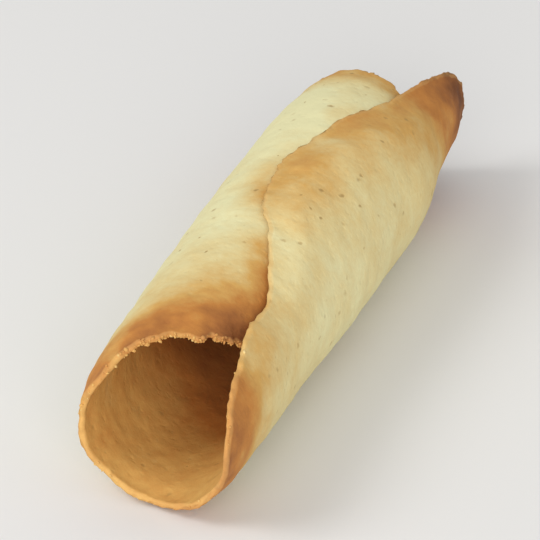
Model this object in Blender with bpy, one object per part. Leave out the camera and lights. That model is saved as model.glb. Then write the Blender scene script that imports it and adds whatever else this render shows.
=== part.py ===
"""A rolled wafer cookie: one round baked wafer, rolled while still soft into an open tube.

The wafer is described flat first, as an uneven disc, and then rolled up.
On the flat disc, "across" runs round the roll and "along" runs down its length.
In the finished model +Y runs along the roll from its near mouth to its far end, +X is to the right
of someone looking that way, and the cookie lies on the plane z = 0 with its seam on top.
"""

import math

import bmesh
import bpy
import numpy as np

MM = 0.001

# The flat wafer. Its rim is a smooth closed curve through these points, each across and along in
# millimetres: six spans for each of the flap's edge, the far end, the hidden inner edge and the near
# mouth. The first point is the middle of the flap's edge.
RIM_POINTS_MM = (
    (37.3, 39.0), (37.4, 50.0), (33.2, 64.0), (28.0, 79.5), (18.5, 81.3), (8.5, 80.2),
    (-1.0, 77.2), (-11.0, 72.8), (-21.5, 71.5), (-30.5, 66.5), (-35.0, 58.0), (-37.5, 49.0),
    (-38.0, 41.0), (-37.5, 33.0), (-35.5, 25.0), (-31.5, 17.0), (-22.5, 12.6), (-13.0, 6.2),
    (-3.0, 6.0), (7.0, 6.0), (16.5, 3.6), (25.9, 2.3), (30.0, 12.6), (31.4, 25.5))

# The wafer is thinner at its rim. Where the flap is pressed down its rim is thinnest, and only its
# outer face slopes, so that it lies flush. A ring is a share of the way from the disc's middle to its
# rim, and a turn is a share of the way round it.
WAFER_THICKNESS = 1.4 * MM
RIM_THICKNESS = 1.0 * MM
RIM_THINS_FROM_RING = 0.86
PRESSED_RIM_THICKNESS = 0.35 * MM
PRESSED_RIM_TURN = 0.06
PRESSED_RIM_SPREAD = 0.07

# The roll. Its radius is that of the wall's middle surface below the disc's middle line.
ROLL_ARM = 8.9 * MM
DISC_MIDDLE_AT = math.radians(238)
LAYER_GAP = 0.22 * MM
ROLL_LENGTH = 80 * MM
ROLL_RADIUS_STATIONS_MM = ((-2, 8.4), (12, 8.6), (26, 8.9), (45, 9.2), (60, 9.1), (71, 7.7), (81, 6.6))
FAR_END_SHIFT = -1.1 * MM
FAR_END_SHIFT_START = 56 * MM

# Both corners of the flap stand off the layer under them. The near one rises with the winding round
# the roll, and lies down again over its length. The far one rises over its length up to the far end.
NEAR_LIFT = 1.5 * MM
NEAR_LIFT_WINDINGS = (math.radians(105), math.radians(190))
NEAR_LIFT_LENGTH = 26 * MM
FAR_LIFT = 0.9 * MM
FAR_LIFT_WINDINGS = (math.radians(50), math.radians(125))
FAR_LIFT_LENGTH = 12 * MM

# The near mouth isn't round: its lip dips towards the axis at the upper left.
LIP_DIP = 1.15 * MM
LIP_DIP_WINDING = math.radians(-68)
LIP_DIP_SPREAD = math.radians(34)
LIP_DIP_LENGTH = 14 * MM

# The broken rim: shallow waves all round, and a chip with teeth in it on the near lip. One tooth is
# longer than the rest, and stands as far out as the rim beside the chip.
RAGGED_DEPTH = 0.2 * MM
RAGGED_WAVES = (11, 19, 29)
RAGGED_WAVE_SHARES = (0.5, 1.0)
RAGGED_SEED = 7
RAGGED_FROM_RING = 0.8
TOOTH_DEPTH = 0.5 * MM
TOOTH_COUNT = 62
TOOTH_MIDDLE_TURN = 0.665
TOOTH_SPREAD = 0.04
LONG_TOOTH_DEPTH = 2.0 * MM
LONG_TOOTH_TURN = 0.669
LONG_TOOTH_SPREAD = 0.0085
CHIP_DEPTH = 1.9 * MM
CHIP_START_TURN = 0.615
CHIP_END_TURN = 0.710
CHIP_SLOPE = 0.008

# The flattened strip that the cookie rests on
REST_FLAT_DEPTH = 0.45 * MM

# The mesh. Each face of the wafer stops just short of the rim line that joins them.
GRID_CELLS = 44
FACE_EDGE_RING = 0.985
NORMAL_STEP = 0.01 * MM

BAKED_COLOR = (0.78, 0.68, 0.38, 1.0)
BAKED_ROUGHNESS = 0.8


def smooth_step(start, end, value):
    """0 before start, 1 after end, with a soft change between them."""
    t = np.clip((value - start) / (end - start), 0.0, 1.0)
    return t * t * (3 - 2 * t)


def catmull_rom(before, here, after, beyond, t):
    """The smooth curve from here to after, at t between 0 and 1."""
    return here + 0.5 * t * (after - before
                             + t * (2 * before - 5 * here + 4 * after - beyond
                                    + t * (3 * (here - after) + beyond - before)))


def smooth_rim(turn):
    """The rim's across and along at a share of the way round, from 0 to 1."""
    points = np.array(RIM_POINTS_MM) * MM
    position = np.mod(turn, 1.0) * len(points)
    index = np.floor(position).astype(int)
    corners = [points[(index + offset) % len(points)] for offset in (-1, 0, 1, 2)]
    rim = catmull_rom(*corners, (position - index)[..., None])
    return rim[..., 0], rim[..., 1]


def turn_from(turn, middle):
    """The signed way from a middle share of the rim, between minus and plus a half."""
    return np.mod(turn - middle + 0.5, 1.0) - 0.5


def bell(way, spread):
    """1 where the way from the middle is 0, with a soft fall on both sides."""
    return np.exp(-(way / spread) ** 2)


def ragged_reach(turn):
    """How far the broken edge stands out from the smooth rim."""
    random = np.random.default_rng(RAGGED_SEED)
    edge = np.zeros_like(turn)
    for waves in RAGGED_WAVES:
        start = random.uniform(0, 2 * math.pi)
        edge = edge + np.sin(2 * math.pi * waves * turn + start) * random.uniform(*RAGGED_WAVE_SHARES)
    sharp_teeth = np.abs(np.sin(math.pi * TOOTH_COUNT * turn)) - 0.5
    near_lip = bell(turn_from(turn, TOOTH_MIDDLE_TURN), TOOTH_SPREAD)
    long_tooth = bell(turn_from(turn, LONG_TOOTH_TURN), LONG_TOOTH_SPREAD)
    share = np.mod(turn, 1.0)
    chip = (smooth_step(CHIP_START_TURN - CHIP_SLOPE, CHIP_START_TURN + CHIP_SLOPE, share)
            * smooth_step(CHIP_END_TURN + CHIP_SLOPE, CHIP_END_TURN - CHIP_SLOPE, share))
    return (RAGGED_DEPTH * edge + TOOTH_DEPTH * sharp_teeth * near_lip
            + LONG_TOOTH_DEPTH * long_tooth - CHIP_DEPTH * chip)


def square_to_circle(u, v):
    """Rounds the square from -1 to 1 into a circle.

    Returns how far out each point lies, from 0 to 1, and its share of the way round. Both (1, 0)
    and the start of the rim have the share 0, and (0, 1) has a quarter.
    """
    circle_u = u * np.sqrt(1 - v * v / 2)
    circle_v = v * np.sqrt(1 - u * u / 2)
    return np.hypot(circle_u, circle_v), np.arctan2(circle_v, circle_u) / (2 * math.pi)


def flat_disc(ring, turn):
    """Places on the flat disc, as across and along."""
    rim_across, rim_along = smooth_rim(turn)
    middle_along = ROLL_LENGTH / 2
    reach = np.hypot(rim_across, rim_along - middle_along)
    stretch = ring * (1 + smooth_step(RAGGED_FROM_RING, 1.0, ring) * ragged_reach(turn) / reach)
    return rim_across * stretch, middle_along + (rim_along - middle_along) * stretch


def roll_radius(along):
    """The radius of the roll at a place along it, as a smooth curve through the stations."""
    stations = np.array(ROLL_RADIUS_STATIONS_MM) * MM
    places = stations[:, 0]
    radii = np.concatenate((stations[:1, 1], stations[:, 1], stations[-1:, 1]))
    along = np.clip(along, places[0], places[-1])
    index = np.clip(np.searchsorted(places, along, side="right") - 1, 0, len(places) - 2)
    t = (along - places[index]) / (places[index + 1] - places[index])
    return catmull_rom(radii[index], radii[index + 1], radii[index + 2], radii[index + 3], t)


def rolled(across, along):
    """The middle surface's points after rolling, as an array of x, y and z."""
    winding = across / ROLL_ARM
    turn = DISC_MIDDLE_AT - winding
    pitch = WAFER_THICKNESS + LAYER_GAP
    near_lift = (NEAR_LIFT * smooth_step(*NEAR_LIFT_WINDINGS, winding)
                 * smooth_step(NEAR_LIFT_LENGTH, 0.0, along))
    far_lift = (FAR_LIFT * smooth_step(*FAR_LIFT_WINDINGS, winding)
                * smooth_step(ROLL_LENGTH - FAR_LIFT_LENGTH, ROLL_LENGTH, along))
    lip_dip = (LIP_DIP * bell(winding - LIP_DIP_WINDING, LIP_DIP_SPREAD)
               * smooth_step(LIP_DIP_LENGTH, 0.0, along))
    radius = roll_radius(along) + pitch * winding / (2 * math.pi) + near_lift + far_lift - lip_dip
    shift = FAR_END_SHIFT * smooth_step(FAR_END_SHIFT_START, ROLL_LENGTH, along)
    x = radius * np.sin(turn) + shift
    y = along - ROLL_LENGTH / 2
    z = radius * np.cos(turn)
    return np.stack((x, y, z), axis=-1)


def wall_normals(across, along):
    """Unit normals of the rolled middle surface, away from the roll's axis."""
    across_way = rolled(across + NORMAL_STEP, along) - rolled(across - NORMAL_STEP, along)
    along_way = rolled(across, along + NORMAL_STEP) - rolled(across, along - NORMAL_STEP)
    normals = np.cross(along_way, across_way)
    return normals / np.linalg.norm(normals, axis=-1, keepdims=True)


def wall_offsets(ring, turn):
    """How far the outer and the inner face lie from the middle surface, outwards."""
    pressed = bell(turn_from(turn, PRESSED_RIM_TURN), PRESSED_RIM_SPREAD)
    rim = RIM_THICKNESS + (PRESSED_RIM_THICKNESS - RIM_THICKNESS) * pressed
    loss = (WAFER_THICKNESS - rim) * smooth_step(RIM_THINS_FROM_RING, 1.0, ring)
    outer = WAFER_THICKNESS / 2 - loss * (1 + pressed) / 2
    inner = -WAFER_THICKNESS / 2 + loss * (1 - pressed) / 2
    return outer, inner


def wafer_surfaces():
    """The outer and inner grids of points, and a grid whose border is the rim between them."""
    side = np.linspace(-1, 1, GRID_CELLS + 1)
    ring, turn = square_to_circle(*np.meshgrid(side, side, indexing="ij"))
    outer, inner = wall_offsets(ring, turn)
    across, along = flat_disc(ring * FACE_EDGE_RING, turn)
    middle = rolled(across, along)
    normals = wall_normals(across, along)
    rim_across, rim_along = flat_disc(ring, turn)
    rim_offset = (outer + inner)[..., None] / 2
    rim = rolled(rim_across, rim_along) + wall_normals(rim_across, rim_along) * rim_offset
    return middle + normals * outer[..., None], middle + normals * inner[..., None], rim


def border_indices(cells):
    """Grid index pairs in order round the grid's border."""
    border = [(i, 0) for i in range(cells)]
    border += [(cells, j) for j in range(cells)]
    border += [(i, cells) for i in range(cells, 0, -1)]
    border += [(0, j) for j in range(cells, 0, -1)]
    return border


def wafer_mesh():
    """The rolled wafer as one closed mesh, resting on z = 0 with its box centred over the origin."""
    outer, inner, rim = wafer_surfaces()
    floor = outer[..., 2].min() + REST_FLAT_DEPTH
    outer[..., 2] = np.maximum(outer[..., 2], floor)
    count = GRID_CELLS + 1
    border = border_indices(GRID_CELLS)
    rim_points = np.array([rim[i, j] for i, j in border])
    points = np.concatenate((outer.reshape(-1, 3), inner.reshape(-1, 3), rim_points))
    points[:, :2] -= (points[:, :2].min(axis=0) + points[:, :2].max(axis=0)) / 2
    points[:, 2] -= floor
    inner_start = count * count
    rim_start = 2 * count * count
    faces = []
    for i in range(GRID_CELLS):
        for j in range(GRID_CELLS):
            corner = i * count + j
            quad = (corner, corner + 1, corner + count + 1, corner + count)
            faces.append(quad)
            faces.append(tuple(inner_start + index for index in reversed(quad)))
    for k, (i, j) in enumerate(border):
        next_i, next_j = border[(k + 1) % len(border)]
        here = i * count + j
        after = next_i * count + next_j
        rim_here = rim_start + k
        rim_after = rim_start + (k + 1) % len(border)
        faces.append((here, after, rim_after, rim_here))
        faces.append((rim_here, rim_after, inner_start + after, inner_start + here))
    mesh = bpy.data.meshes.new("rolled_wafer")
    mesh.from_pydata([tuple(point) for point in points], [], faces)
    return mesh


def baked_material():
    """Pale baked wafer: matt, with no metal in it."""
    material = bpy.data.materials.new("baked_wafer")
    material.use_nodes = True
    shader = material.node_tree.nodes["Principled BSDF"]
    shader.inputs["Base Color"].default_value = BAKED_COLOR
    shader.inputs["Roughness"].default_value = BAKED_ROUGHNESS
    shader.inputs["Metallic"].default_value = 0.0
    return material


def build_cookie():
    """Adds the cookie to the scene as one object."""
    mesh = wafer_mesh()
    edit = bmesh.new()
    edit.from_mesh(mesh)
    bmesh.ops.recalc_face_normals(edit, faces=edit.faces)
    edit.to_mesh(mesh)
    edit.free()
    mesh.shade_smooth()
    mesh.materials.append(baked_material())
    cookie = bpy.data.objects.new("rolled_wafer", mesh)
    bpy.context.scene.collection.objects.link(cookie)
    return cookie


def clear_scene():
    """Removes whatever the scene holds at the start."""
    for thing in list(bpy.data.objects):
        bpy.data.objects.remove(thing)


def main():
    clear_scene()
    build_cookie()


main()
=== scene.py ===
"""The looks of a rolled wafer cookie: one thin baked sheet rolled into an open tube.

The sheet is worked out flat, as an uneven disc, and then rolled up. On the flat disc "across" runs
round the roll and "along" runs down its length, from the near mouth to the far end. A "ring" is a
share of the way from the disc's middle to its rim, and a "turn" is a share of the way round the rim,
starting at the middle of the flap's edge and going by the far end.
"""
import logging
import math
from dataclasses import dataclass, field
from enum import Enum

import bmesh
import bpy
import numpy as np
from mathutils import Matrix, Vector


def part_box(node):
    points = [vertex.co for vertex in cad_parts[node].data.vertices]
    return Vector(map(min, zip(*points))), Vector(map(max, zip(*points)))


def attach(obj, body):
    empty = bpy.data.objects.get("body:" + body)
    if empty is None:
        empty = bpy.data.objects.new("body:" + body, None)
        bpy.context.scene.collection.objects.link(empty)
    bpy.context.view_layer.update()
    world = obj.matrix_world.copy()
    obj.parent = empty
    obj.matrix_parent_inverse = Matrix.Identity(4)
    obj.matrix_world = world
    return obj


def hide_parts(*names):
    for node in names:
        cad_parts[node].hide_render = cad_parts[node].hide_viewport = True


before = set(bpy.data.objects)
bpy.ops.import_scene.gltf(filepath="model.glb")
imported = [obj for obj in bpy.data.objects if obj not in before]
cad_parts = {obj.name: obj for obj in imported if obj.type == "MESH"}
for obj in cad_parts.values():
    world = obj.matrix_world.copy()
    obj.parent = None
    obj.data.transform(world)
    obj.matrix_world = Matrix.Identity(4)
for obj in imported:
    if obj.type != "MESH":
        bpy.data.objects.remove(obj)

MM = 0.001
TWO_PI = 2 * math.pi
NODE = "rolled_wafer"
NOISE_CORNERS = 257
SCREEN_LINE_END = 0.04045
SCREEN_LINE_SLOPE = 12.92
SCREEN_OFFSET = 0.055
SCREEN_POWER = 2.4

Pair = tuple[float, float]
Place = tuple[float, float, float]
Color = tuple[int, int, int]
Layers = tuple[Pair, ...]
Socket = bpy.types.NodeSocket
Entry = Socket | float | tuple[float, ...]
Entries = dict[int | str, Entry]

log = logging.getLogger("cookie")


class Side(Enum):
    """The wafer's two faces, with the way each one looks from the middle surface."""

    OUTER = 1.0
    INNER = -1.0


def smooth_step(start: float, end: float, value: np.ndarray) -> np.ndarray:
    """0 before start, 1 after end, and three squares less two cubes of the share between them."""
    share = np.clip((value - start) / (end - start), 0.0, 1.0)
    return share * share * (3 - 2 * share)


def bell(value: np.ndarray, width: float) -> np.ndarray:
    """1 at 0, falling off on both sides as e to the minus square of value over width."""
    return np.exp(-(value / width) ** 2)


def window(start: float, end: float, slope: float, value: np.ndarray) -> np.ndarray:
    """1 between start and end and 0 outside: a smooth step at each, a slope wide on both its sides."""
    return (smooth_step(start - slope, start + slope, value)
            * smooth_step(end + slope, end - slope, value))


def turn_from(turn: np.ndarray, middle: float) -> np.ndarray:
    """The signed way from a middle turn, between minus and plus a half."""
    return np.mod(turn - middle + 0.5, 1.0) - 0.5


def catmull_rom(before: np.ndarray, here: np.ndarray, after: np.ndarray, beyond: np.ndarray,
                share: np.ndarray) -> np.ndarray:
    """The cubic through here and after whose slope at each is half the way between its neighbours.

    Args:
        before, here, after, beyond: four values or points in a row.
        share: the share of the way from here to after.

    Returns:
        The curve's value at that share.
    """
    return here + 0.5 * share * (after - before + share * (
        2 * before - 5 * here + 4 * after - beyond + share * (3 * (here - after) + beyond - before)))


def closed_curve(values: np.ndarray, turn: np.ndarray) -> np.ndarray:
    """A smooth closed curve through evenly spaced values.

    Args:
        values: the values or points, the first of them at turn 0.
        turn: the shares of the way round at which the curve is read.

    Returns:
        The curve at each turn.
    """
    position = np.mod(turn, 1.0) * len(values)
    index = np.floor(position).astype(int)
    corners = [values[(index + offset) % len(values)] for offset in (-1, 0, 1, 2)]
    share = (position - index).reshape(position.shape + (1,) * (values.ndim - 1))
    return catmull_rom(*corners, share)


def rim_noise(turn: np.ndarray, knots: int, seed: int) -> np.ndarray:
    """Soft random values from -1 to 1 round the rim: a closed smooth curve through random knots."""
    values = np.random.default_rng(seed).uniform(-1, 1, knots)
    return closed_curve(values, turn)


def sheet_noise(across: np.ndarray, along: np.ndarray, cell: float, seed: int) -> np.ndarray:
    """Soft random heights from -1 to 1 on the flat sheet.

    Each corner of a square lattice has a random height, and a smooth step blends the four corners
    round a place, first across and then along.

    Args:
        across, along: places on the flat sheet.
        cell: the lattice's spacing.
        seed: picks the random heights.

    Returns:
        One height for each place.
    """
    heights = np.random.default_rng(seed).uniform(-1, 1, (NOISE_CORNERS, NOISE_CORNERS))
    column = np.floor(across / cell).astype(int)
    row = np.floor(along / cell).astype(int)
    share_across = smooth_step(0, 1, across / cell - column)
    share_along = smooth_step(0, 1, along / cell - row)

    def corner(right: int, up: int) -> np.ndarray:
        """The random height at one corner of each place's cell."""
        return heights[(column + right) % NOISE_CORNERS, (row + up) % NOISE_CORNERS]

    low = corner(0, 0) + (corner(1, 0) - corner(0, 0)) * share_across
    high = corner(0, 1) + (corner(1, 1) - corner(0, 1)) * share_across
    return low + (high - low) * share_along


def layered_noise(across: np.ndarray, along: np.ndarray, layers: Layers, seed: int) -> np.ndarray:
    """The sum of a few sheet noises, each with its own height and cell size, and the next seed.

    Args:
        across, along: places on the flat sheet.
        layers: the height and the cell size of each noise.
        seed: the first noise's seed.

    Returns:
        One height for each place.
    """
    return sum(height * sheet_noise(across, along, cell, seed + index)
               for index, (height, cell) in enumerate(layers))


@dataclass(frozen=True)
class Outline:
    """The flat wafer's rim: a smooth closed curve, broken by shallow waves, teeth and a chip.

    points_mm holds the curve's points, each across and along: six spans for each of the flap's
    edge, the far end, the hidden inner edge and the near mouth. crumb_layers holds the depth and
    the number of knots of two fine random curves.
    """

    points_mm: tuple[Pair, ...] = (
        (37.3, 39.0), (37.4, 50.0), (33.2, 64.0), (28.0, 79.5), (18.5, 81.3), (8.5, 80.2),
        (-1.0, 77.2), (-11.0, 72.8), (-21.5, 71.5), (-30.5, 66.5), (-35.0, 58.0), (-37.5, 49.0),
        (-38.0, 41.0), (-37.5, 33.0), (-35.5, 25.0), (-31.5, 17.0), (-22.5, 12.6), (-13.0, 6.2),
        (-3.0, 6.0), (7.0, 6.0), (16.5, 3.6), (25.9, 2.3), (30.0, 12.6), (31.4, 25.5))
    middle_along: float = 40 * MM
    ragged_depth: float = 0.2 * MM
    ragged_waves: tuple[int, ...] = (11, 19, 29)
    ragged_wave_shares: Pair = (0.5, 1.0)
    ragged_seed: int = 7
    ragged_from_ring: float = 0.8
    tooth_depth: float = 0.5 * MM
    tooth_count: int = 62
    tooth_middle_turn: float = 0.665
    tooth_spread: float = 0.04
    long_tooth_depth: float = 2.0 * MM
    long_tooth_turn: float = 0.669
    long_tooth_spread: float = 0.0085
    chip_depth: float = 1.9 * MM
    chip_turns: Pair = (0.615, 0.710)
    chip_slope: float = 0.008
    crumb_layers: tuple[tuple[float, int], ...] = ((0.12 * MM, 110), (0.09 * MM, 290))
    lip_crumb_gain: float = 2.4

    def smooth(self, turn: np.ndarray) -> tuple[np.ndarray, np.ndarray]:
        """The smooth rim's across and along at a turn."""
        rim = closed_curve(np.array(self.points_mm) * MM, turn)
        return rim[..., 0], rim[..., 1]

    def near_lip(self, turn: np.ndarray) -> np.ndarray:
        """1 at the middle of the toothed lip, falling to 0 away from it."""
        return bell(turn_from(turn, self.tooth_middle_turn), self.tooth_spread)

    def waves(self, turn: np.ndarray) -> np.ndarray:
        """The shallow waves all round: three sines with random starts and sizes.

        Args:
            turn: places round the rim.

        Returns:
            The waves' height there, as a share of the ragged depth.
        """
        random = np.random.default_rng(self.ragged_seed)
        edge = np.zeros_like(turn)
        for waves in self.ragged_waves:
            start = random.uniform(0, TWO_PI)
            edge = edge + np.sin(TWO_PI * waves * turn + start) * random.uniform(*self.ragged_wave_shares)
        return edge

    def chip(self, turn: np.ndarray) -> np.ndarray:
        """Where the lip is chipped: 1 between the chip's two turns, and 0 outside them."""
        return window(*self.chip_turns, self.chip_slope, np.mod(turn, 1.0))

    def ragged(self, turn: np.ndarray) -> np.ndarray:
        """How far the broken edge stands out from the smooth rim.

        That is the waves, the teeth near the lip, which are a sine's own size less a half, one
        longer tooth, less the chip, and two fine random curves that are stronger near the lip.

        Args:
            turn: places round the rim.

        Returns:
            The distance at each place, outwards.
        """
        near_lip = self.near_lip(turn)
        teeth = np.abs(np.sin(math.pi * self.tooth_count * turn)) - 0.5
        long_tooth = bell(turn_from(turn, self.long_tooth_turn), self.long_tooth_spread)
        crumb = sum(depth * (1 - 2 * np.abs(rim_noise(turn, knots, knots)))
                    for depth, knots in self.crumb_layers)
        return (self.ragged_depth * self.waves(turn) + self.tooth_depth * teeth * near_lip
                + self.long_tooth_depth * long_tooth - self.chip_depth * self.chip(turn)
                + crumb * (1 + self.lip_crumb_gain * near_lip))

    def disc(self, ring: np.ndarray, turn: np.ndarray) -> tuple[np.ndarray, np.ndarray]:
        """Places on the flat disc: the rim's place drawn in to the ring, round the disc's middle.

        Args:
            ring, turn: places on the disc.

        Returns:
            Their across and their along.
        """
        rim_across, rim_along = self.smooth(turn)
        reach = np.hypot(rim_across, rim_along - self.middle_along)
        broken = smooth_step(self.ragged_from_ring, 1.0, ring) * self.ragged(turn) / reach
        stretch = ring * (1 + broken)
        return rim_across * stretch, self.middle_along + (rim_along - self.middle_along) * stretch


@dataclass(frozen=True)
class Roll:
    """How the flat sheet is rolled: a spiral whose radius changes slowly along the cookie.

    Both corners of the flap stand off the layer under them, and the near lip dips towards the
    axis at its upper left. radius_stations_mm holds places along the roll with the radius there.
    """

    arm: float = 8.9 * MM
    disc_middle_at: float = math.radians(238)
    pitch: float = 1.62 * MM
    length: float = 80 * MM
    radius_stations_mm: tuple[Pair, ...] = (
        (-2, 8.4), (12, 8.6), (26, 8.9), (45, 9.2), (60, 9.1), (71, 7.7), (81, 6.6))
    far_end_shift: float = -1.1 * MM
    far_end_shift_start: float = 56 * MM
    near_lift: float = 1.5 * MM
    near_lift_windings: Pair = (math.radians(105), math.radians(190))
    near_lift_length: float = 26 * MM
    far_lift: float = 0.9 * MM
    far_lift_windings: Pair = (math.radians(50), math.radians(125))
    far_lift_length: float = 12 * MM
    lip_dip: float = 1.15 * MM
    lip_dip_winding: float = math.radians(-68)
    lip_dip_spread: float = math.radians(34)
    lip_dip_length: float = 14 * MM
    normal_step: float = 0.01 * MM

    def radius(self, along: np.ndarray) -> np.ndarray:
        """The middle surface's radius below the disc's middle line, a cubic through the stations.

        Args:
            along: places along the roll.

        Returns:
            The radius at each.
        """
        stations = np.array(self.radius_stations_mm) * MM
        places = stations[:, 0]
        radii = np.concatenate((stations[:1, 1], stations[:, 1], stations[-1:, 1]))
        along = np.clip(along, places[0], places[-1])
        index = np.clip(np.searchsorted(places, along, side="right") - 1, 0, len(places) - 2)
        share = (along - places[index]) / (places[index + 1] - places[index])
        return catmull_rom(radii[index], radii[index + 1], radii[index + 2], radii[index + 3], share)

    def lift(self, winding: np.ndarray, along: np.ndarray) -> np.ndarray:
        """How far the flap's corners stand out, less the dip of the lip.

        Each corner is a smooth step over the winding times one over the length, and the dip is a
        bell over the winding times such a step.

        Args:
            winding: angles round the roll from the disc's middle line.
            along: places along the roll.

        Returns:
            What the radius gains at each place.
        """
        near = (self.near_lift * smooth_step(*self.near_lift_windings, winding)
                * smooth_step(self.near_lift_length, 0.0, along))
        far = (self.far_lift * smooth_step(*self.far_lift_windings, winding)
               * smooth_step(self.length - self.far_lift_length, self.length, along))
        dip = (self.lip_dip * bell(winding - self.lip_dip_winding, self.lip_dip_spread)
               * smooth_step(self.lip_dip_length, 0.0, along))
        return near + far - dip

    def place(self, across: np.ndarray, along: np.ndarray) -> np.ndarray:
        """Rolled points: an angle in proportion to across, and a radius that grows with it.

        Args:
            across, along: places on the flat sheet.

        Returns:
            Points of the middle surface, with x, y and z as the last axis.
        """
        winding = across / self.arm
        angle = self.disc_middle_at - winding
        radius = self.radius(along) + self.pitch * winding / TWO_PI + self.lift(winding, along)
        shift = self.far_end_shift * smooth_step(self.far_end_shift_start, self.length, along)
        return np.stack((radius * np.sin(angle) + shift,
                         along - self.length / 2,
                         radius * np.cos(angle)), axis=-1)

    def normals(self, across: np.ndarray, along: np.ndarray) -> np.ndarray:
        """Unit normals away from the roll's axis: the cross product of two small central steps.

        Args:
            across, along: places on the flat sheet.

        Returns:
            The normals, with x, y and z as the last axis.
        """
        step = self.normal_step
        across_way = self.place(across + step, along) - self.place(across - step, along)
        along_way = self.place(across, along + step) - self.place(across, along - step)
        normals = np.cross(along_way, across_way)
        return normals / np.linalg.norm(normals, axis=-1, keepdims=True)


@dataclass(frozen=True)
class Thickness:
    """The wafer's wall: full inside, thinner at the rim, and flush where the flap is pressed down."""

    full: float = 1.4 * MM
    rim: float = 0.72 * MM
    thins_from_ring: float = 0.9
    pressed_rim: float = 0.08 * MM
    pressed_turn: float = 0.06
    pressed_spread: float = 0.075
    pressed_sink: float = 0.20 * MM

    def pressed(self, turn: np.ndarray) -> np.ndarray:
        """1 where the flap's edge is pressed down most, falling to 0 on the open rim."""
        return bell(turn_from(turn, self.pressed_turn), self.pressed_spread)

    def offsets(self, ring: np.ndarray, turn: np.ndarray) -> dict[Side, np.ndarray]:
        """How far each face lies from the middle surface, outwards.

        The wall loses thickness over the last rings by a smooth step. The loss is shared by both
        faces, but comes off the outer face alone where the flap is pressed, which also sinks a little.

        Args:
            ring, turn: places on the disc.

        Returns:
            The offset for each side.
        """
        pressed = self.pressed(turn)
        near_rim = smooth_step(self.thins_from_ring, 1.0, ring)
        loss = (self.full - self.rim - (self.pressed_rim - self.rim) * pressed) * near_rim
        sink = self.pressed_sink * pressed * near_rim
        return {Side.OUTER: self.full / 2 - loss * (1 + pressed) / 2 - sink,
                Side.INNER: -self.full / 2 + loss * (1 - pressed) / 2 - sink}


@dataclass(frozen=True)
class Relief:
    """The baked sheet's own unevenness, as heights of soft noise of several sizes.

    crumb_layers holds the height and the cell size of each noise of the fine bumps. shown_across
    holds, for each face, where across the sheet they begin to show and where they are whole.
    """

    buckle_depth: float = 0.14 * MM
    buckle_cell: float = 12 * MM
    buckle_seeds: tuple[int, int] = (3, 4)
    crumb_layers: Layers = ((0.07 * MM, 4.2 * MM), (0.05 * MM, 1.9 * MM), (0.045 * MM, 1.0 * MM))
    shown_across: dict[Side, Pair] = field(default_factory=lambda: {
        Side.OUTER: (-22 * MM, -19 * MM), Side.INNER: (25 * MM, 22 * MM)})
    side_seeds: dict[Side, int] = field(default_factory=lambda: {Side.OUTER: 40, Side.INNER: 80})

    def buckle(self, points: np.ndarray) -> np.ndarray:
        """Broad waves that every layer at one place shares: noise read over two planes of space.

        Args:
            points: points of the middle surface.

        Returns:
            The waves' height at each point.
        """
        x, y, z = points[..., 0], points[..., 1], points[..., 2]
        first, second = self.buckle_seeds
        waves = sheet_noise(x, y, self.buckle_cell, first) + sheet_noise(z, y, self.buckle_cell, second)
        return self.buckle_depth * waves

    def crumb(self, across: np.ndarray, along: np.ndarray, side: Side) -> np.ndarray:
        """Finer bumps, different on each face: a sum of noises, each finer and lower.

        They die away by a smooth step where one layer lies on the next, so that the layers don't
        meet.

        Args:
            across, along: places on the flat sheet.
            side: the face that the bumps are on.

        Returns:
            The bumps' height at each place.
        """
        height = layered_noise(across, along, self.crumb_layers, self.side_seeds[side])
        return height * smooth_step(*self.shown_across[side], across)


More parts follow.
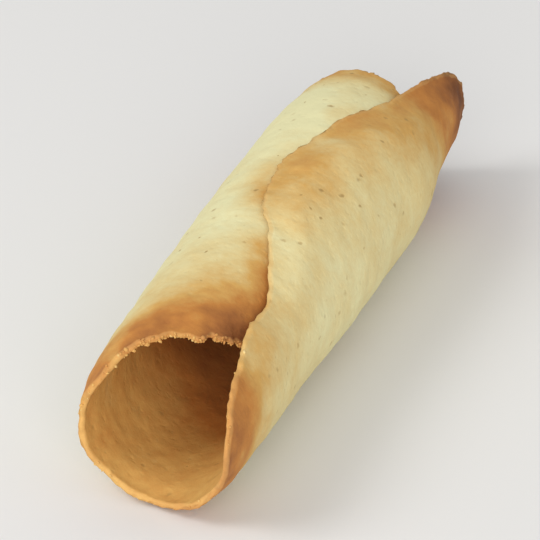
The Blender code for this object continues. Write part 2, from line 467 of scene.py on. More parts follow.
@dataclass(frozen=True)
class BrowningAndPaintedLight:
    """Where the wafer is browned, from 0 for pale to 1 for dark brown. It also holds painted shade
    beside the flap's edge and deep inside the roll, and painted light on the inner face near the mouth.

    rim_bake holds evenly spaced turns round the rim, from the middle of the flap's edge by the far
    end: how brown the outer face is at the rim there, and how far in millimetres that reaches in.
    patch_layers and blotch_layers hold the strength and the cell size of each noise.
    """

    rim_bake: tuple[Pair, ...] = (
        (0.28, 6.2), (0.27, 7.0), (0.38, 7.8), (0.74, 10.7), (0.87, 12.5), (0.86, 12.0),
        (0.72, 9.0), (0.46, 5.5), (0.40, 5.5), (0.30, 3.0), (0.50, 4.0), (0.50, 4.0),
        (0.50, 4.0), (0.55, 4.0), (0.66, 10.5), (0.72, 13.5), (0.69, 10.0), (0.69, 7.6),
        (0.50, 6.5), (0.45, 5.4), (0.59, 7.4), (0.62, 10.5), (0.31, 7.0), (0.06, 4.0))
    fade_power: float = 1.8
    # the seam's band on the layer beside the flap's edge: partly browning, partly painted shade where the
    # edge meets that layer
    seam_turns: Pair = (-0.11, 0.07)
    seam_slope: float = 0.06
    seam_reach: float = 2.8 * MM
    seam_peak: float = 0.31
    seam_knots: int = 70
    seam_seed: int = 5
    seam_strengths: Pair = (0.7, 0.5)
    seam_count: int = 90
    flap_tone: float = 0.09
    flap_across: Pair = (4 * MM, 20 * MM)
    # inner face: browning, with painted light at the mouth and painted shade deep inside the roll
    inner_rim_tone_and_light: float = 0.44
    inner_deep_tone_and_shade: float = 0.70
    inner_depths: Pair = (11 * MM, 29 * MM)
    inner_patches: float = 0.6
    broken_extra: float = 0.02
    patch_layers: Layers = ((0.05, 11 * MM), (0.05, 4 * MM), (0.03, 1.8 * MM))
    patch_seed: int = 60
    blotch_layers: Layers = ((0.14, 4.4 * MM), (0.14, 2.1 * MM), (0.09, 1.1 * MM))
    blotch_seed: int = 2743

    def at_rim(self, turn: np.ndarray, inwards: np.ndarray) -> np.ndarray:
        """The rim's browning: its peak there, fading as e to the minus a power of the way in.

        Args:
            turn: places round the rim.
            inwards: how far in from the rim each place is.

        Returns:
            The browning at each place.
        """
        bake = closed_curve(np.array(self.rim_bake), turn)
        reach = bake[..., 1] * MM
        return bake[..., 0] * np.exp(-(inwards / reach) ** self.fade_power)

    def patches(self, across: np.ndarray, along: np.ndarray) -> np.ndarray:
        """Soft uneven patches of slightly more and less baking."""
        return layered_noise(across, along, self.patch_layers, self.patch_seed)

    def blotches(self, across: np.ndarray, along: np.ndarray) -> np.ndarray:
        """Shares by which the rim's browning is stronger or weaker from place to place."""
        return 1 + layered_noise(across, along, self.blotch_layers, self.blotch_seed)

    def seam_strength(self, turn: np.ndarray) -> np.ndarray:
        """How strong the seam's band of browning and painted shade is: a random curve, cut off by a smooth
        step at both ends.

        Args:
            turn: places along the flap's edge.

        Returns:
            The strength at each place.
        """
        base, vary = self.seam_strengths
        strength = base + vary * rim_noise(turn, self.seam_knots, self.seam_seed)
        return window(*self.seam_turns, self.seam_slope, turn) * strength

    def seam_stain_and_shade_at(self, points: np.ndarray, seam: np.ndarray, strength: np.ndarray) -> np.ndarray:
        """Browning and painted shade under and beside the pressed edge: it fades with the distance to the
        seam.

        Args:
            points: points of the surface.
            seam: points along the flap's edge.
            strength: how strong the band is at each of them.

        Returns:
            The band's browning and painted shade at each point.
        """
        seam_stain_and_shade = np.zeros(len(points))
        for place, amount in zip(seam, strength):
            distance = np.linalg.norm(points - place, axis=1)
            seam_stain_and_shade = np.maximum(seam_stain_and_shade, amount * bell(distance, self.seam_reach))
        return seam_stain_and_shade * self.seam_peak

    def inside(self, inwards: np.ndarray, patches: np.ndarray) -> np.ndarray:
        """The inner face's browning with painted light and shade: a smooth step from the rim's, lighter
        near the mouth, to the deep one, darker inside the roll, with patches.
        """
        deep = smooth_step(*self.inner_depths, inwards)
        return self.inner_rim_tone_and_light + (self.inner_deep_tone_and_shade - self.inner_rim_tone_and_light) * deep + self.inner_patches * patches


def border_indices(count: int) -> np.ndarray:
    """Indices round a square grid's border in order, starting along its first column.

    Args:
        count: points on each side of the grid.

    Returns:
        The flat indices of the border's points.
    """
    steps = np.arange(count - 1)
    last = count - 1
    return np.concatenate((steps * count, last * count + steps,
                           (last - steps) * count + last, last - steps))


@dataclass
class Wafer:
    """The whole rolled wafer as one closed mesh: an outer and an inner grid joined by a broken rim.

    Once it is built, rim_points and rim_baking hold the broken rim's points and their browning,
    row by row.
    """

    outline: Outline = field(default_factory=Outline)
    roll: Roll = field(default_factory=Roll)
    thickness: Thickness = field(default_factory=Thickness)
    relief: Relief = field(default_factory=Relief)
    browning: BrowningAndPaintedLight = field(default_factory=BrowningAndPaintedLight)
    cells: int = 210
    rim_crowding: float = 0.3
    face_edge_ring: float = 0.988
    smallest_ring: float = 0.001
    rim_rows: int = 5
    rim_roughness: float = 0.15 * MM
    rim_knots: tuple[int, int] = (360, 1100)
    rim_seed: int = 200
    rough_along: float = 0.25
    rough_outwards: float = 0.5
    lip_roughness: float = 0.8
    rest_flat_depth: float = 0.45 * MM
    rim_points: np.ndarray = field(init=False, repr=False)
    rim_baking: np.ndarray = field(init=False, repr=False)

    def square_to_disc(self) -> tuple[np.ndarray, np.ndarray]:
        """Ring and turn over a square grid that is rounded into a circle.

        The sides run from -1 to 1, closer together at the rim: a line less a share of its cube.
        Each side is then multiplied by the root of one less half the other's square.

        Returns:
            The ring and the turn of each of the grid's points.
        """
        even = np.linspace(-1, 1, self.cells + 1)
        side = even * (1 + self.rim_crowding) - self.rim_crowding * even ** 3
        u, v = np.meshgrid(side, side, indexing="ij")
        circle_u = u * np.sqrt(1 - v * v / 2)
        circle_v = v * np.sqrt(1 - u * u / 2)
        return np.hypot(circle_u, circle_v), np.arctan2(circle_v, circle_u) / TWO_PI

    def surface(self, ring: np.ndarray, turn: np.ndarray, outwards: np.ndarray,
                crumb_sides: dict[Side, float]) -> np.ndarray:
        """Rolled points at a height off the middle surface.

        Args:
            ring, turn: places on the disc.
            outwards: the height of each point off the middle surface.
            crumb_sides: the share of each face's crumb relief that these points take.

        Returns:
            Points, with x, y and z as the last axis.
        """
        across, along = self.outline.disc(ring, turn)
        middle = self.roll.place(across, along)
        height = outwards + self.relief.buckle(middle)
        for side, share in crumb_sides.items():
            height = height + share * side.value * self.relief.crumb(across, along, side)
        return middle + self.roll.normals(across, along) * height[..., None]

    def face(self, side: Side, ring: np.ndarray, turn: np.ndarray) -> np.ndarray:
        """One face of the wafer: the surface at that face's offset.

        Args:
            side: which face.
            ring, turn: places on the disc.

        Returns:
            The face's points, as a flat list.
        """
        offsets = self.thickness.offsets(ring, turn)
        points = self.surface(ring * self.face_edge_ring, turn, offsets[side], {side: 1.0})
        return points.reshape(-1, 3)

    def rim_row(self, row: int, turn: np.ndarray) -> np.ndarray:
        """One row of points across the broken rim, from the outer face at row 0 to the inner one.

        The rim's section is half an ellipse between the two faces. Each row is roughened by its own
        random curve, and by a finer one near the lip.

        Args:
            row: the row's number.
            turn: places round the rim.

        Returns:
            The row's points.
        """
        offsets = self.thickness.offsets(np.ones_like(turn), turn)
        middle = (offsets[Side.OUTER] + offsets[Side.INNER]) / 2
        half = (offsets[Side.OUTER] - offsets[Side.INNER]) / 2
        angle = math.pi * row / (self.rim_rows + 1)
        out, inwards = math.cos(angle), math.sin(angle)
        coarse, fine = (rim_noise(turn, knots, self.rim_seed + row) for knots in self.rim_knots)
        near_lip = self.outline.near_lip(turn)
        rough = self.rim_roughness * (coarse + self.lip_roughness * near_lip * fine)
        ring = (self.face_edge_ring + (1 - self.face_edge_ring) * inwards
                + self.rough_along * rough / self.roll.arm)
        return self.surface(ring, turn, middle + half * out + self.rough_outwards * rough,
                            {Side.OUTER: max(out, 0.0), Side.INNER: max(-out, 0.0)})

    def seam(self) -> tuple[np.ndarray, np.ndarray]:
        """The pressed edge of the flap.

        Returns:
            Points along it, and how strong the band of browning and painted shade is at each.
        """
        start, end = self.browning.seam_turns
        slope = self.browning.seam_slope
        turn = np.linspace(start - slope, end + slope, self.browning.seam_count)
        offsets = self.thickness.offsets(np.ones_like(turn), turn)
        points = self.surface(np.ones_like(turn), turn, offsets[Side.OUTER], {})
        return points, self.browning.seam_strength(turn)

    def baking(self, points: np.ndarray, ring: np.ndarray, turn: np.ndarray) -> np.ndarray:
        """The browning of every point.

        The outer face is the rim's browning and, under the flap's edge, the seam's band of browning
        and painted shade, both blotched, with the flap's own tone and soft patches. The inner face is
        browning with painted light near the mouth and painted shade deep inside the roll. The rim's rows
        pass from the outer face's browning to the inner one's, except where the flap is pressed down.

        Args:
            points: the whole wafer's points.
            ring, turn: the grid's places on the disc.

        Returns:
            The outer grid's browning, then the inner grid's, then the rim's, row by row.
        """
        across, along = self.outline.disc(ring, turn)
        reach = np.hypot(across, along - self.outline.middle_along) / np.maximum(ring, self.smallest_ring)
        inwards = (1 - ring) * reach
        patches = self.browning.patches(across, along).ravel()
        at_rim = self.browning.at_rim(turn, inwards).ravel()
        flap = self.browning.flap_tone * smooth_step(*self.browning.flap_across, across).ravel()
        # browning and painted shade beside the flap's edge, on the layer under it only
        seam_stain_and_shade = self.browning.seam_stain_and_shade_at(points[:ring.size], *self.seam()) * (across.ravel() < 0)
        outer = flap + (at_rim + seam_stain_and_shade) * self.browning.blotches(across, along).ravel() + patches
        # inner face: browning with painted light near the mouth and painted shade deep inside the roll
        inner = self.browning.inside(inwards.ravel(), patches)
        border = border_indices(ring.shape[0])
        shares = np.arange(1, self.rim_rows + 1)[:, None] / (self.rim_rows + 1)
        open_rim = 1 - self.thickness.pressed(turn.ravel()[border])
        rim = outer[border] + (self.browning.broken_extra + (inner - outer)[border] * shares) * open_rim
        return np.concatenate((outer, inner, rim.ravel()))

    def settle(self, points: np.ndarray, grid_points: int) -> np.ndarray:
        """Presses the lowest strip of the outer face flat, and puts the wafer where the CAD node is.

        Args:
            points: the whole wafer's points, the outer grid's first. They are changed in place.
            grid_points: how many points the outer grid has.

        Returns:
            The same points.
        """
        outer = points[:grid_points]
        floor = outer[:, 2].min() + self.rest_flat_depth
        outer[:, 2] = np.maximum(outer[:, 2], floor)
        low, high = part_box(NODE)
        centre = (points.min(axis=0) + points.max(axis=0)) / 2
        points[:, :2] += (np.array(low + high) / 2 - centre)[:2]
        points[:, 2] += low.z - floor
        return points

    def quads(self, count: int, border: np.ndarray) -> np.ndarray:
        """Four corners for every face: both grids, and the strips round the rim between them.

        Args:
            count: points on each side of a grid.
            border: the indices round a grid's border.

        Returns:
            One row of four indices for each face.
        """
        corner = (np.arange(count - 1)[:, None] * count + np.arange(count - 1)).ravel()
        outer = np.stack((corner, corner + 1, corner + count + 1, corner + count), axis=1)
        inner = outer[:, ::-1] + count * count
        rows = 2 * count * count + np.arange(self.rim_rows * len(border)).reshape(self.rim_rows, -1)
        loops = [border, *rows, border + count * count]
        strips = [np.stack((here, np.roll(here, -1), np.roll(below, -1), below), axis=1)
                  for here, below in zip(loops, loops[1:])]
        return np.concatenate((outer, inner, *strips))

    def build(self) -> bpy.types.Object:
        """Builds the mesh and its attributes.

        Returns:
            The wafer's object, at the origin.
        """
        ring, turn = self.square_to_disc()
        border = border_indices(ring.shape[0])
        rim_turn = turn.ravel()[border]
        rows = [self.rim_row(row, rim_turn) for row in range(1, self.rim_rows + 1)]
        points = np.concatenate([self.face(side, ring, turn) for side in Side] + rows)
        baking = self.baking(points, ring, turn)
        points = self.settle(points, ring.size)
        rim_start = 2 * ring.size
        self.rim_points = points[rim_start:].reshape(self.rim_rows, len(border), 3)
        self.rim_baking = baking[rim_start:].reshape(self.rim_rows, len(border))
        mesh = mesh_from_faces(NODE + "_baked", points, self.quads(ring.shape[0], border))
        # browning, with painted shade beside the flap's edge and deep inside the roll, and painted light
        # on the inner face at the mouth
        set_attribute(mesh, "browning", baking)
        # marks the rim's rows, which the material paints paler, partly as a painted highlight
        set_attribute(mesh, "broken", (np.arange(len(points)) >= rim_start).astype(float))
        return add_object(mesh)


@dataclass
class Crumbs:
    """The grains of the broken rim: small lumps set closely along it, all in one mesh."""

    count: int = 300
    radii: Pair = (0.07 * MM, 0.26 * MM)
    size_power: float = 2.2
    stretch: Pair = (0.5, 1.5)
    lumpiness: float = 0.35
    lip_turn: float = 0.66
    lip_spread: float = 0.03
    lip_share: float = 0.62
    open_turns: Pair = (0.125, 0.93)
    # how much paler the grains are than the rim: partly their own colour, partly a painted highlight
    paler_and_highlight: Pair = (0.0, 0.2)
    seed: int = 11

    def base_ball(self) -> tuple[np.ndarray, np.ndarray]:
        """A small round lump of twenty triangles.

        Returns:
            Its points, and the corners of its triangles.
        """
        shape = bmesh.new()
        bmesh.ops.create_icosphere(shape, subdivisions=1, radius=1.0)
        points = np.array([vertex.co for vertex in shape.verts])
        faces = np.array([[vertex.index for vertex in face.verts] for face in shape.faces])
        shape.free()
        return points, faces

    def rim_places(self, random: np.random.Generator, wafer: Wafer) -> np.ndarray:
        """Where round the rim the grains sit: a share near the lip, and the rest on the open rim.

        Args:
            random: the random numbers.
            wafer: the built wafer.

        Returns:
            The index of a point of the rim for each grain.
        """
        anywhere = random.uniform(*self.open_turns, self.count)
        near_lip = self.lip_turn + self.lip_spread * random.standard_normal(self.count)
        wanted = np.where(random.uniform(0, 1, self.count) < self.lip_share, near_lip, anywhere)
        rim_turn = np.mod(wafer.square_to_disc()[1].ravel()[border_indices(wafer.cells + 1)], 1.0)
        order = np.argsort(rim_turn)
        return order[np.searchsorted(rim_turn[order], np.mod(wanted, 1.0)) % len(order)]

    def lumps(self, random: np.random.Generator, ball: np.ndarray) -> np.ndarray:
        """The grains' shapes round their own middles.

        Each is the round lump with every point pushed in or out at random, stretched along three
        axes and turned by a random rotation.

        Args:
            random: the random numbers.
            ball: the round lump's points.

        Returns:
            The points of each grain.
        """
        low, high = self.radii
        size = low + (high - low) * random.uniform(0, 1, self.count) ** self.size_power
        bumps = 1 + self.lumpiness * random.uniform(-1, 1, (self.count, len(ball), 1))
        scale = size[:, None, None] * random.uniform(*self.stretch, (self.count, 1, 3))
        turned = np.linalg.qr(random.standard_normal((self.count, 3, 3)))[0]
        turned[:, :, 0] *= np.linalg.det(turned)[:, None]
        return (ball * bumps * scale) @ turned.transpose(0, 2, 1)

    def build(self, wafer: Wafer) -> bpy.types.Object:
        """Builds the grains, each sunk halfway into the wafer's rim.

        Args:
            wafer: the built wafer, whose rim's points and browning are used.

        Returns:
            The grains' object, at the origin.
        """
        random = np.random.default_rng(self.seed)
        ball, triangles = self.base_ball()
        place = self.rim_places(random, wafer)
        row = random.integers(0, wafer.rim_rows, self.count)
        points = self.lumps(random, ball) + wafer.rim_points[row, place][:, None]
        starts = np.arange(self.count)[:, None, None] * len(ball)
        mesh = mesh_from_faces("rim_crumbs", points.reshape(-1, 3), (triangles + starts).reshape(-1, 3))
        # grains paler than the rim under them, partly a painted highlight on their tips
        tone = wafer.rim_baking[row, place] - random.uniform(*self.paler_and_highlight, self.count)
        set_attribute(mesh, "browning", np.repeat(tone, len(ball)))
        # the grains also take the broken rim's paler mix, partly a painted highlight
        set_attribute(mesh, "broken", np.ones(self.count * len(ball)))
        return add_object(mesh)


def mesh_from_faces(name: str, points: np.ndarray, faces: np.ndarray) -> bpy.types.Mesh:
    """A smooth-shaded mesh from arrays.

    Args:
        name: the mesh's name.
        points: one row of x, y and z for each point.
        faces: one row of corners for each face.

    Returns:
        The mesh.
    """
    mesh = bpy.data.meshes.new(name)
    mesh.from_pydata(points, [], faces)
    mesh.shade_smooth()
    return mesh


def set_attribute(mesh: bpy.types.Mesh, name: str, values: np.ndarray) -> None:
    """Gives every vertex of a mesh a number."""
    attribute = mesh.attributes.new(name, "FLOAT", "POINT")
    attribute.data.foreach_set("value", values.astype(np.float32))


def add_object(data: bpy.types.ID) -> bpy.types.Object:
    """Links a new object to the scene.

    Args:
        data: the mesh, light or camera that it shows, whose name it takes.

    Returns:
        The object, at the origin.
    """
    thing = bpy.data.objects.new(data.name, data)
    bpy.context.scene.collection.objects.link(thing)
    return thing


def linear(color: Color) -> tuple[float, float, float, float]:
    """A colour in the linear values that shaders take.

    Args:
        color: its red, green and blue on the screen, from 0 to 255.

    Returns:
        Its linear red, green and blue from 0 to 1, and a full alpha.
    """
    def channel(value: int) -> float:
        """One channel by the screen's curve: a short line, then a power of the share and an offset."""
        share = value / 255
        if share <= SCREEN_LINE_END:
            return share / SCREEN_LINE_SLOPE
        return ((share + SCREEN_OFFSET) / (1 + SCREEN_OFFSET)) ** SCREEN_POWER

    return (*map(channel, color), 1.0)


class NodeSheet:
    """A short way to add and join the nodes of one tree."""

    def __init__(self, tree: bpy.types.NodeTree) -> None:
        """Keeps the tree that nodes are added to."""
        self.tree = tree

    def feed(self, node: bpy.types.Node, entries: Entries) -> None:
        """Joins each socket to its input, and sets the inputs whose entry is a plain value.

        Args:
            node: the node.
            entries: an output socket, a number or a colour for each input's name or number.
        """
        for name, value in entries.items():
            if isinstance(value, Socket):
                self.tree.links.new(value, node.inputs[name])
            else:
                node.inputs[name].default_value = value

    def add(self, kind: str, entries: Entries | None = None, **settings: object) -> bpy.types.Node:
        """Adds a node.

        Args:
            kind: the node's type.
            entries: what goes into its inputs.
            settings: the properties to set on it.

        Returns:
            The node.
        """
        node = self.tree.nodes.new(kind)
        for name, value in settings.items():
            setattr(node, name, value)
        self.feed(node, entries or {})
        return node

    def math(self, operation: str, *entries: Entry) -> Socket:
        """Adds a Math node, fills its inputs in order and returns its output."""
        return self.add("ShaderNodeMath", dict(enumerate(entries)), operation=operation).outputs[0]

    def noise(self, place: Entry, scale: Entry, detail: float = 2.0,
              roughness: float = 0.5) -> bpy.types.Node:
        """Adds a Noise Texture with so many lumps to a metre and returns the node."""
        return self.add("ShaderNodeTexNoise", {
            "Vector": place, "Scale": scale, "Detail": detail, "Roughness": roughness})

    def cells(self, place: Entry, scale: Entry) -> bpy.types.Node:
        """Adds a Voronoi Texture with so many cells to a metre and returns the node."""
        return self.add("ShaderNodeTexVoronoi", {"Vector": place, "Scale": scale}, feature="F1")

    def range(self, value: Entry, ends: tuple[Entry, Entry],
              to: tuple[Entry, Entry] = (0.0, 1.0)) -> Socket:
        """Adds a smooth Map Range node.

        Args:
            value: the value that is mapped.
            ends: the values that are mapped to the first and the last of the new ones.
            to: those new values.

        Returns:
            The node's result.
        """
        entries = dict(enumerate((value, *ends, *to)))
        return self.add("ShaderNodeMapRange", entries, interpolation_type="SMOOTHSTEP").outputs["Result"]

    def mix(self, share: Entry, first: Entry, second: Entry) -> Socket:
        """Adds a colour mix.

        Args:
            share: the second colour's share.
            first, second: the colours.

        Returns:
            The mixed colour.
        """
        node = self.add("ShaderNodeMix", {0: share}, data_type="RGBA")
        colors = [index for index, socket in enumerate(node.inputs) if socket.type == "RGBA"]
        self.feed(node, dict(zip(colors, (first, second))))
        return next(socket for socket in node.outputs if socket.type == "RGBA")


def new_material(name: str) -> tuple[bpy.types.Material, NodeSheet, bpy.types.Node]:
    """Makes a material with nodes.

    Args:
        name: the material's name.

    Returns:
        The material, the sheet of its nodes and its shader.
    """
    material = bpy.data.materials.new(name)
    material.use_nodes = True
    return material, NodeSheet(material.node_tree), material.node_tree.nodes["Principled BSDF"]


@dataclass(frozen=True)
class BakedGrain:
    """The grain of baked batter, as a node group.

    Its inputs are the place, and how many grains and specks there are to a metre. Its outputs are a
    tone round 0, a mask of dark specks, and a height for bump. Scales are lumps or cells to a metre.
    """

    name: str = "baked_grain"
    mottle_scale: float = 260.0
    mottle_detail: float = 4.0
    mottle_tone: float = 1.2
    grain_detail: float = 3.0
    grain_tone: float = 0.8
    roughness: float = 0.6
    bend_scale: float = 900.0
    bend: float = 0.9 * MM
    speck_sizes: Pair = (0.10, 0.27)
    speck_core: float = 0.25
    speck_shown: Pair = (0.3, 0.6)
    crowd_scale: float = 110.0
    crowd_ends: Pair = (0.40, 0.60)
    crowd_shares: Pair = (0.45, 1.0)
    pore_scale: float = 900.0
    pore_size: float = 0.45
    grain_height: float = 0.6
    pore_height: float = 0.4
    speck_depth: float = 0.5

    def new_group(self) -> bpy.types.NodeTree:
        """Makes the empty group with its named sockets.

        Returns:
            The group's node tree.
        """
        group = bpy.data.node_groups.new(self.name, "ShaderNodeTree")
        face = group.interface
        face.new_socket("Vector", in_out="INPUT", socket_type="NodeSocketVector")
        for name in ("Grains", "Specks"):
            face.new_socket(name, in_out="INPUT", socket_type="NodeSocketFloat")
        for name in ("Tone", "Specks", "Height"):
            face.new_socket(name, in_out="OUTPUT", socket_type="NodeSocketFloat")
        return group

    def centred(self, sheet: NodeSheet, noise: Socket, strength: float) -> Socket:
        """A noise from 0 to 1 as a tone round 0 of the given strength."""
        return sheet.math("MULTIPLY_ADD", noise, strength, -strength / 2)

    def bent_place(self, sheet: NodeSheet, place: Socket) -> Socket:
        """The place moved a little by noise, so that cells read there aren't regular.

        Args:
            sheet: the group's nodes.
            place: the place.

        Returns:
            The moved place.
        """
        wobble = sheet.noise(place, self.bend_scale).outputs["Color"]
        way = sheet.add("ShaderNodeVectorMath", {0: wobble, "Scale": self.bend}, operation="SCALE")
        bent = sheet.add("ShaderNodeVectorMath", {0: place, 1: way.outputs[0]}, operation="ADD")
        return bent.outputs[0]

    def specks(self, sheet: NodeSheet, place: Socket, bent: Socket, scale: Socket) -> Socket:
        """Dark specks: dots in the middle of some cells, more of them in some places.

        Each cell's random colour gives its dot's size, and whether the dot is there at all.

        Args:
            sheet: the group's nodes.
            place, bent: the place, and the place moved a little.
            scale: cells to a metre.

        Returns:
            The specks' mask.
        """
        cells = sheet.cells(bent, scale)
        chosen = sheet.add("ShaderNodeSeparateColor", {0: cells.outputs["Color"]}).outputs
        size = sheet.range(chosen["Green"], (0.0, 1.0), self.speck_sizes)
        dot = sheet.range(cells.outputs["Distance"], (size, sheet.math("MULTIPLY", size, self.speck_core)))
        crowds = sheet.range(sheet.noise(place, self.crowd_scale).outputs["Fac"], self.crowd_ends,
                             self.crowd_shares)
        shown = sheet.math("MULTIPLY", sheet.range(chosen["Red"], self.speck_shown), crowds)
        return sheet.math("MULTIPLY", dot, shown)

    def height(self, sheet: NodeSheet, bent: Socket, grain: Socket, specks: Socket) -> Socket:
        """The height for bump: fine grain and open pores, less the depth of the specks.

        Args:
            sheet: the group's nodes.
            bent: the place moved a little.
            grain: the fine grain.
            specks: the specks' mask.

        Returns:
            The height.
        """
        pores = sheet.cells(bent, self.pore_scale)
        pit = sheet.range(pores.outputs["Distance"], (0.0, self.pore_size))
        height = sheet.math("ADD", sheet.math("MULTIPLY", grain, self.grain_height),
                            sheet.math("MULTIPLY", pit, self.pore_height))
        return sheet.math("SUBTRACT", height, sheet.math("MULTIPLY", specks, self.speck_depth))

    def build(self) -> bpy.types.NodeTree:
        """Builds the group.

        Returns:
            The group's node tree.
        """
        group = self.new_group()
        sheet = NodeSheet(group)
        entry = sheet.add("NodeGroupInput").outputs
        place = entry["Vector"]
        mottle = sheet.noise(place, self.mottle_scale, self.mottle_detail, self.roughness).outputs["Fac"]
        grain = sheet.noise(place, entry["Grains"], self.grain_detail, self.roughness).outputs["Fac"]
        bent = self.bent_place(sheet, place)
        specks = self.specks(sheet, place, bent, entry["Specks"])
        tone = sheet.math("ADD", self.centred(sheet, mottle, self.mottle_tone),
                          self.centred(sheet, grain, self.grain_tone))
        height = self.height(sheet, bent, grain, specks)
        sheet.add("NodeGroupOutput", {"Tone": tone, "Specks": specks, "Height": height})
        return group


@dataclass(frozen=True)
class BakedFinish:
    """Baked batter: pale cream through gold to brown, matt, with fine grain and dark specks.

    bake_colors holds the browning and the screen colour of each step.
    """

    name: str = "baked_wafer"
    bake_colors: tuple[tuple[float, Color], ...] = (
        (0.0, (232, 226, 176)), (0.2, (224, 202, 142)), (0.4, (213, 167, 92)),
        (0.6, (194, 129, 61)), (0.8, (161, 101, 50)), (1.0, (116, 68, 33)))
    speck_color: Color = (166, 132, 76)
    speck_share: float = 0.85
    speck_fades: Pair = (0.3, 0.6)
    # a paler colour on the broken rim: partly the edge's own, partly a painted highlight along it
    broken_and_highlight_color: Color = (227, 184, 118)
    broken_and_highlight_share: float = 0.24
    tone_share: float = 0.17
    roughness: float = 0.82
    specular: float = 0.3
    bump_strength: float = 0.5
    bump_distance: float = 0.14 * MM
    grains: float = 1500.0
    specks: float = 560.0

    def fill_ramp(self, ramp: bpy.types.ColorRamp) -> None:
        """Puts the bake colours into a colour ramp, first and last in its own two stops.

        Args:
            ramp: the colour ramp.
        """
        first, *between, last = self.bake_colors
        for stop, (place, color) in zip(ramp.elements, (first, last)):
            stop.position = place
            stop.color = linear(color)
        for place, color in between:
            ramp.elements.new(place).color = linear(color)

    def color(self, sheet: NodeSheet, grain: bpy.types.Node) -> Socket:
        """The baked colour: the browning and the grain's tone through a ramp, then the specks.

        The specks fade out where the wafer is browned. The broken rim gets a share of its own pale
        colour: partly the edge's own, partly a painted highlight along it.

        Args:
            sheet: the material's nodes.
            grain: the grain's group node.

        Returns:
            The colour.
        """
        browning = sheet.add("ShaderNodeAttribute", attribute_name="browning").outputs["Fac"]
        broken = sheet.add("ShaderNodeAttribute", attribute_name="broken").outputs["Fac"]
        tone = sheet.math("MULTIPLY_ADD", grain.outputs["Tone"], self.tone_share, browning)
        ramp = sheet.add("ShaderNodeValToRGB", {"Fac": tone})
        self.fill_ramp(ramp.color_ramp)
        pale = sheet.range(browning, self.speck_fades, (self.speck_share, 0.0))
        specks = sheet.math("MULTIPLY", grain.outputs["Specks"], pale)
        speckled = sheet.mix(specks, ramp.outputs["Color"], linear(self.speck_color))
        # the broken rim painted paler, partly as a painted highlight
        share = sheet.math("MULTIPLY", broken, self.broken_and_highlight_share)
        return sheet.mix(share, speckled, linear(self.broken_and_highlight_color))

    def material(self, group: bpy.types.NodeTree) -> bpy.types.Material:
        """Builds the material.

        Args:
            group: the baked grain's node group.

        Returns:
            The finished material.
        """
        material, sheet, shader = new_material(self.name)
        place = sheet.add("ShaderNodeTexCoord").outputs["Object"]
        grain = sheet.add("ShaderNodeGroup", {
            "Vector": place, "Grains": self.grains, "Specks": self.specks}, node_tree=group)
        bump = sheet.add("ShaderNodeBump", {
            "Strength": self.bump_strength, "Distance": self.bump_distance,
            "Height": grain.outputs["Height"]})
        sheet.feed(shader, {
            "Base Color": self.color(sheet, grain), "Roughness": self.roughness,
            "Specular IOR Level": self.specular, "Normal": bump.outputs["Normal"]})
        return material


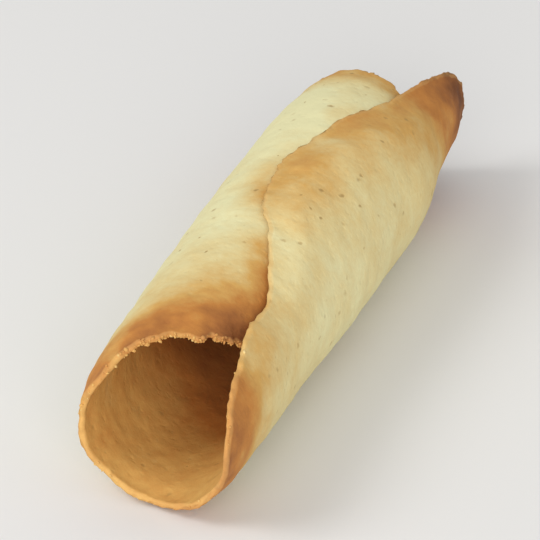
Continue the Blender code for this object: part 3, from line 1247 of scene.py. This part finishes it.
@dataclass(frozen=True)
class Studio:
    """A pale floor, soft lights and a camera at the photo's viewing angle.

    The camera looks at the middle of the roll from its elevation above level, and from its azimuth
    to the right of the roll's axis.
    """

    floor_side: float = 3.0
    floor_color: Color = (232, 231, 229)
    floor_roughness: float = 0.9
    floor_specular: float = 0.1
    elevation: float = math.radians(31)
    azimuth: float = math.radians(21.1)
    distance: float = 0.769
    lens: float = 480.0
    sensor: float = 36.0
    clip_start: float = 0.01
    aim: Place = (-0.42 * MM, -1.53 * MM, 9.75 * MM)
    key_at: Place = (-0.52, -0.48, 0.72)
    key_side: float = 0.45
    key_power: float = 3.6
    fill_at: Place = (0.35, -1.0, 0.36)
    fill_side: float = 0.9
    fill_power: float = 8.8
    world_color: Color = (255, 255, 255)
    world_strength: float = 0.55

    def build_floor(self) -> None:
        """Builds a square floor under the cookie, with a pale matt material."""
        half = self.floor_side / 2
        corners = np.array([(-half, -half, 0), (half, -half, 0), (half, half, 0), (-half, half, 0)])
        floor = add_object(mesh_from_faces("floor", corners, np.array([[0, 1, 2, 3]])))
        material, sheet, shader = new_material("pale_floor")
        sheet.feed(shader, {
            "Base Color": linear(self.floor_color), "Roughness": self.floor_roughness,
            "Specular IOR Level": self.floor_specular})
        floor.data.materials.append(material)

    def stand(self, data: bpy.types.ID, at: Vector, way: Vector) -> bpy.types.Object:
        """Stands a light or a camera at a place.

        Args:
            data: the light or camera.
            at: where it stands.
            way: the way that it looks.

        Returns:
            Its object.
        """
        thing = add_object(data)
        thing.location = at
        thing.rotation_euler = way.to_track_quat("-Z", "Y").to_euler()
        return thing

    def add_light(self, name: str, at: Place, side: float, power: float) -> None:
        """Adds a square area light that faces the cookie.

        Args:
            name: the light's name.
            at: where it stands.
            side: the length of its side.
            power: its power in watts.
        """
        data = bpy.data.lights.new(name, "AREA")
        data.size = side
        data.energy = power
        self.stand(data, Vector(at), Vector(self.aim) - Vector(at))

    def light(self) -> None:
        """Sets the key and fill lights and the even light from all round."""
        self.add_light("key", self.key_at, self.key_side, self.key_power)
        self.add_light("fill", self.fill_at, self.fill_side, self.fill_power)
        world = bpy.data.worlds.new("studio")
        world.use_nodes = True
        NodeSheet(world.node_tree).feed(world.node_tree.nodes["Background"], {
            "Color": linear(self.world_color), "Strength": self.world_strength})
        bpy.context.scene.world = world
        bpy.context.scene.view_settings.view_transform = "Standard"

    def aim_camera(self) -> None:
        """Adds the camera and makes it the scene's own."""
        data = bpy.data.cameras.new("camera")
        data.sensor_width = self.sensor
        data.lens = self.lens
        data.clip_start = self.clip_start
        view = Vector((-math.sin(self.azimuth) * math.cos(self.elevation),
                       math.cos(self.azimuth) * math.cos(self.elevation),
                       -math.sin(self.elevation)))
        at = Vector(self.aim) - view * self.distance
        bpy.context.scene.camera = self.stand(data, at, view)


def main() -> None:
    """Builds the cookie and its studio, and logs each piece's name and number of faces."""
    logging.basicConfig(level=logging.INFO, format="%(message)s")
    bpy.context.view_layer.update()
    studio = Studio()
    studio.aim_camera()
    baked = BakedFinish().material(BakedGrain().build())
    wafer = Wafer()
    sheet = wafer.build()
    crumbs = Crumbs().build(wafer)
    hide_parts(NODE)
    for piece in (sheet, crumbs):
        piece.data.materials.append(baked)
        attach(piece, "root")
        log.info("%s: %d faces", piece.name, len(piece.data.polygons))
    studio.build_floor()
    studio.light()


if __name__ == "__main__":
    main()
